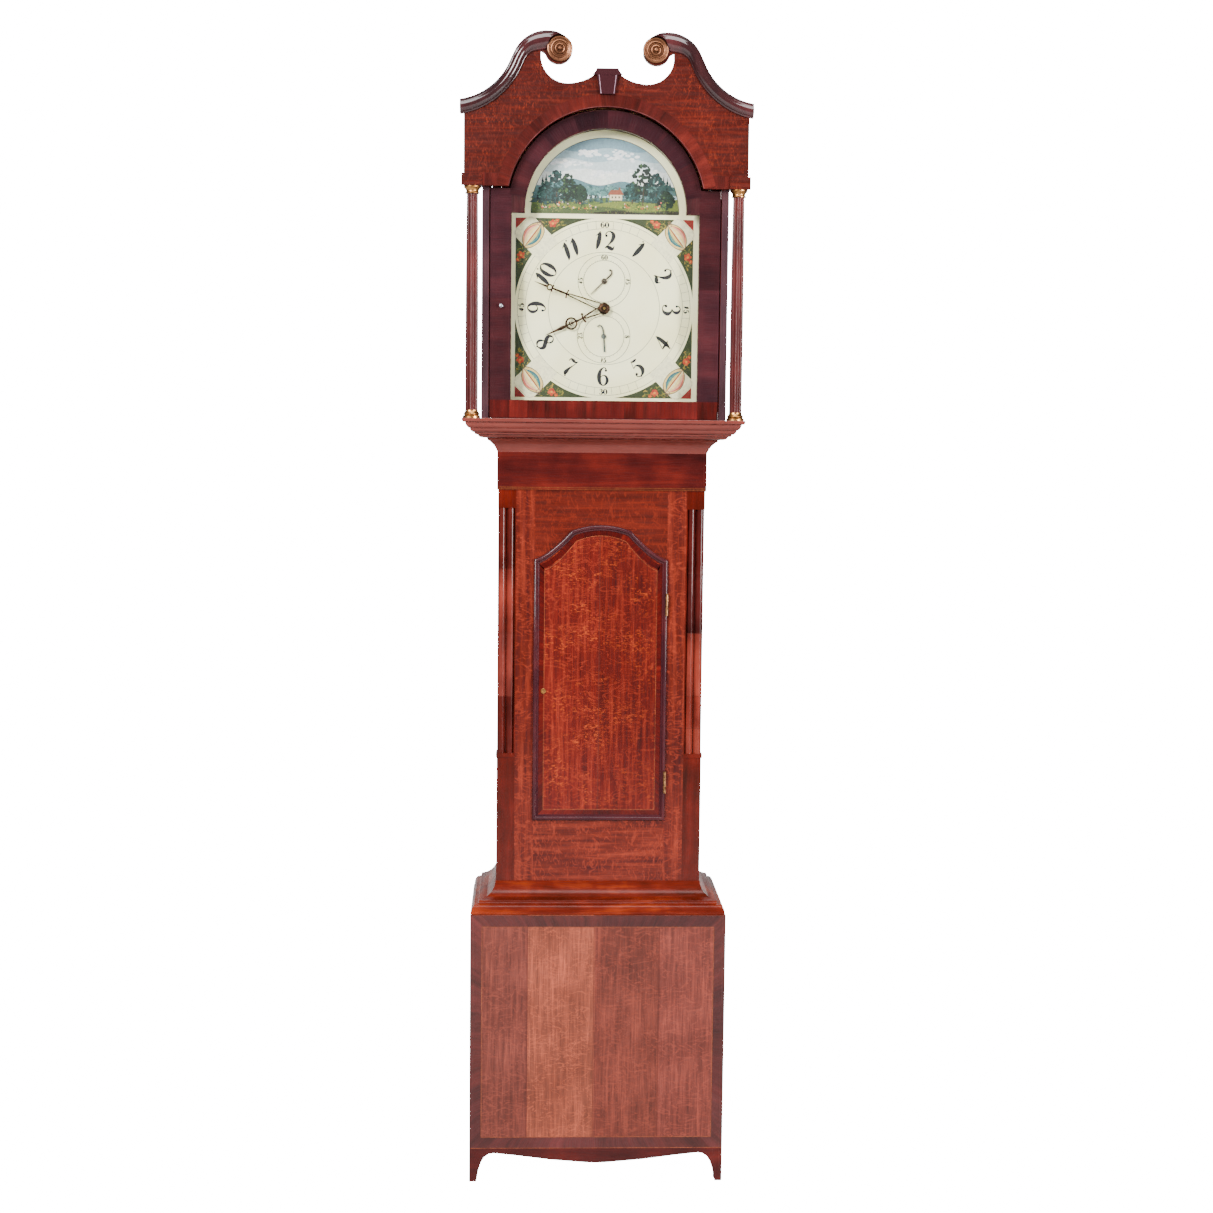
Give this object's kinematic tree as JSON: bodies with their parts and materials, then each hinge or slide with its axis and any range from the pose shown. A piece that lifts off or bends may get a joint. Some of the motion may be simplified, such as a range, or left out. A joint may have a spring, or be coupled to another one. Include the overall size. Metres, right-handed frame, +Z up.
{
  "type": "longcase clock",
  "caption": "Tall oak and mahogany floor clock: swan neck hood with a glazed arch door, painted dial, narrow trunk with a curved door, square base on cut feet.",
  "frame": {"origin": "centre of the footprint of the whole clock, on the floor", "axes": "+Z up, the dial faces -Y, +X to the right seen from the front"},
  "size_m": [0.51, 0.258, 2.0553],
  "materials": {
    "oak": "french polished",
    "mahogany": "french polished",
    "pine": "bare, brushed with age",
    "brass": "lacquered",
    "steel": "blued and worn",
    "lead_iron": "dull cast",
    "dial_paint": "satin enamel paint",
    "window_glass": "clear",
    "rope": "laid cord"
  },
  "bodies": {
    "case": {"backboard": "pine", "base_side_left": "oak", "base_side_right": "oak", "base_front": "oak", "front_apron": "mahogany", "waist_moulding": "oak", "trunk_side_left": "oak", "trunk_side_right": "oak", "trunk_stiles": "oak", "trunk_top_rail": "oak", "trunk_bottom_rail": "oak", "trunk_frieze": "mahogany", "corner_post_left": "mahogany", "corner_post_right": "mahogany", "quarter_column_left": "mahogany", "quarter_column_right": "mahogany", "trunk_cove": "mahogany", "seatboard": "pine", "dial_plate": "dial_paint", "movement_frame": "steel", "train_bars": "brass", "bell": "brass", "trunk_hinges": "brass", "rope_top": "rope"},
    "hood": {"hood_side_left": "oak", "hood_side_right": "oak", "hood_top": "pine", "hood_base_frame": "mahogany", "arch_front": "oak", "swan_neck_left": "mahogany", "swan_neck_right": "mahogany", "rosettes": "brass", "keystone": "mahogany", "hood_column_left": "mahogany", "hood_column_right": "mahogany", "column_brasses": "brass"},
    "hood_door": {"hood_door_frame": "mahogany", "hood_door_glass": "window_glass"},
    "trunk_door": {"trunk_door_panel": "oak", "trunk_door_moulding": "mahogany"},
    "centre_arbor": {"centre_wheel": "brass", "minute_hand": "brass"},
    "great_arbor": {"great_wheel": "brass"},
    "third_arbor": {"third_wheel": "brass"},
    "escape_arbor": {"escape_wheel": "brass", "seconds_hand": "steel"},
    "motion_arbor": {"minute_wheel": "brass"},
    "hour_pipe": {"hour_wheel": "brass", "hour_hand": "brass"},
    "date_arbor": {"date_hand": "steel"},
    "pendulum": {"pendulum_rod": "steel", "pendulum_bob": "brass"},
    "anchor_arbor": {"anchor": "steel"},
    "strike_arbor": {"strike_wheel": "brass"},
    "hammer_arbor": {"hammer": "steel"},
    "drive_weight": {"weight": "lead_iron", "weight_rope": "rope"},
    "pulley": {"weight_pulley": "brass"},
    "ring": {"ring_weight": "lead_iron", "ring_rope": "rope"}
  },
  "joints": [
    {"name": "hood_slide", "type": "slide", "parent": "case", "child": "hood", "axis": [0, -1, 0], "range_m": [0, 0.26]},
    {"name": "hood_door_swing", "type": "hinge", "parent": "hood", "child": "hood_door", "pos_m": [0.2015, -0.106, 1.389], "axis": [0, 0, 1], "range_deg": [0, 100]},
    {"name": "trunk_door_swing", "type": "hinge", "parent": "case", "child": "trunk_door", "pos_m": [0.1195, -0.068, 0.663], "axis": [0, 0, 1], "range_deg": [0, 110]},
    {"name": "hands_turn", "type": "hinge", "parent": "case", "child": "centre_arbor", "pos_m": [0, 0, 1.585], "axis": [0, 1, 0], "continuous": true},
    {"name": "great_turn", "type": "hinge", "parent": "case", "child": "great_arbor", "pos_m": [0, 0, 1.545], "axis": [0, 1, 0], "continuous": true},
    {"name": "third_turn", "type": "hinge", "parent": "case", "child": "third_arbor", "pos_m": [0, 0, 1.6105], "axis": [0, 1, 0], "continuous": true},
    {"name": "seconds_turn", "type": "hinge", "parent": "case", "child": "escape_arbor", "pos_m": [0, 0, 1.633], "axis": [0, 1, 0], "continuous": true},
    {"name": "motion_turn", "type": "hinge", "parent": "case", "child": "motion_arbor", "pos_m": [0, 0, 1.552], "axis": [0, 1, 0], "continuous": true},
    {"name": "hour_turn", "type": "hinge", "parent": "case", "child": "hour_pipe", "pos_m": [0, 0, 1.585], "axis": [0, 1, 0], "continuous": true},
    {"name": "date_turn", "type": "hinge", "parent": "case", "child": "date_arbor", "pos_m": [0, 0, 1.536], "axis": [0, 1, 0], "continuous": true},
    {"name": "pendulum_swing", "type": "hinge", "parent": "case", "child": "pendulum", "pos_m": [0, 0.066, 1.661], "axis": [0, 1, 0], "range_deg": [-2.5, 2.5]},
    {"name": "anchor_rock", "type": "hinge", "parent": "case", "child": "anchor_arbor", "pos_m": [0, 0, 1.661], "axis": [0, 1, 0], "range_deg": [-2.5, 2.5]},
    {"name": "strike_turn", "type": "hinge", "parent": "case", "child": "strike_arbor", "pos_m": [0, 0, 1.545], "axis": [0, 1, 0], "continuous": true},
    {"name": "hammer_lift", "type": "hinge", "parent": "case", "child": "hammer_arbor", "pos_m": [0.044, 0.03, 1.5], "axis": [0, 0, 1], "range_deg": [0, 15]},
    {"name": "weight_drop", "type": "slide", "parent": "case", "child": "drive_weight", "axis": [0, 0, 1], "range_m": [-0.62, 0.12], "deforming": ["weight_rope"]},
    {"name": "pulley_turn", "type": "hinge", "parent": "drive_weight", "child": "pulley", "pos_m": [-0.024, 0.004, 1.2], "axis": [1, 0, 0], "continuous": true},
    {"name": "ring_drop", "type": "slide", "parent": "case", "child": "ring", "axis": [0, 0, 1], "range_m": [-0.12, 0.62], "deforming": ["ring_rope"]}
  ],
  "couplings": [
    {"joint": "hands_turn", "follows": "seconds_turn", "ratio": 0.016667},
    {"joint": "great_turn", "follows": "seconds_turn", "ratio": -0.0055556},
    {"joint": "third_turn", "follows": "seconds_turn", "ratio": -0.125},
    {"joint": "motion_turn", "follows": "seconds_turn", "ratio": -0.016667},
    {"joint": "hour_turn", "follows": "seconds_turn", "ratio": 0.0013889},
    {"joint": "anchor_rock", "follows": "pendulum_swing", "ratio": 1},
    {"joint": "ring_drop", "follows": "weight_drop", "ratio": -1}
  ]
}
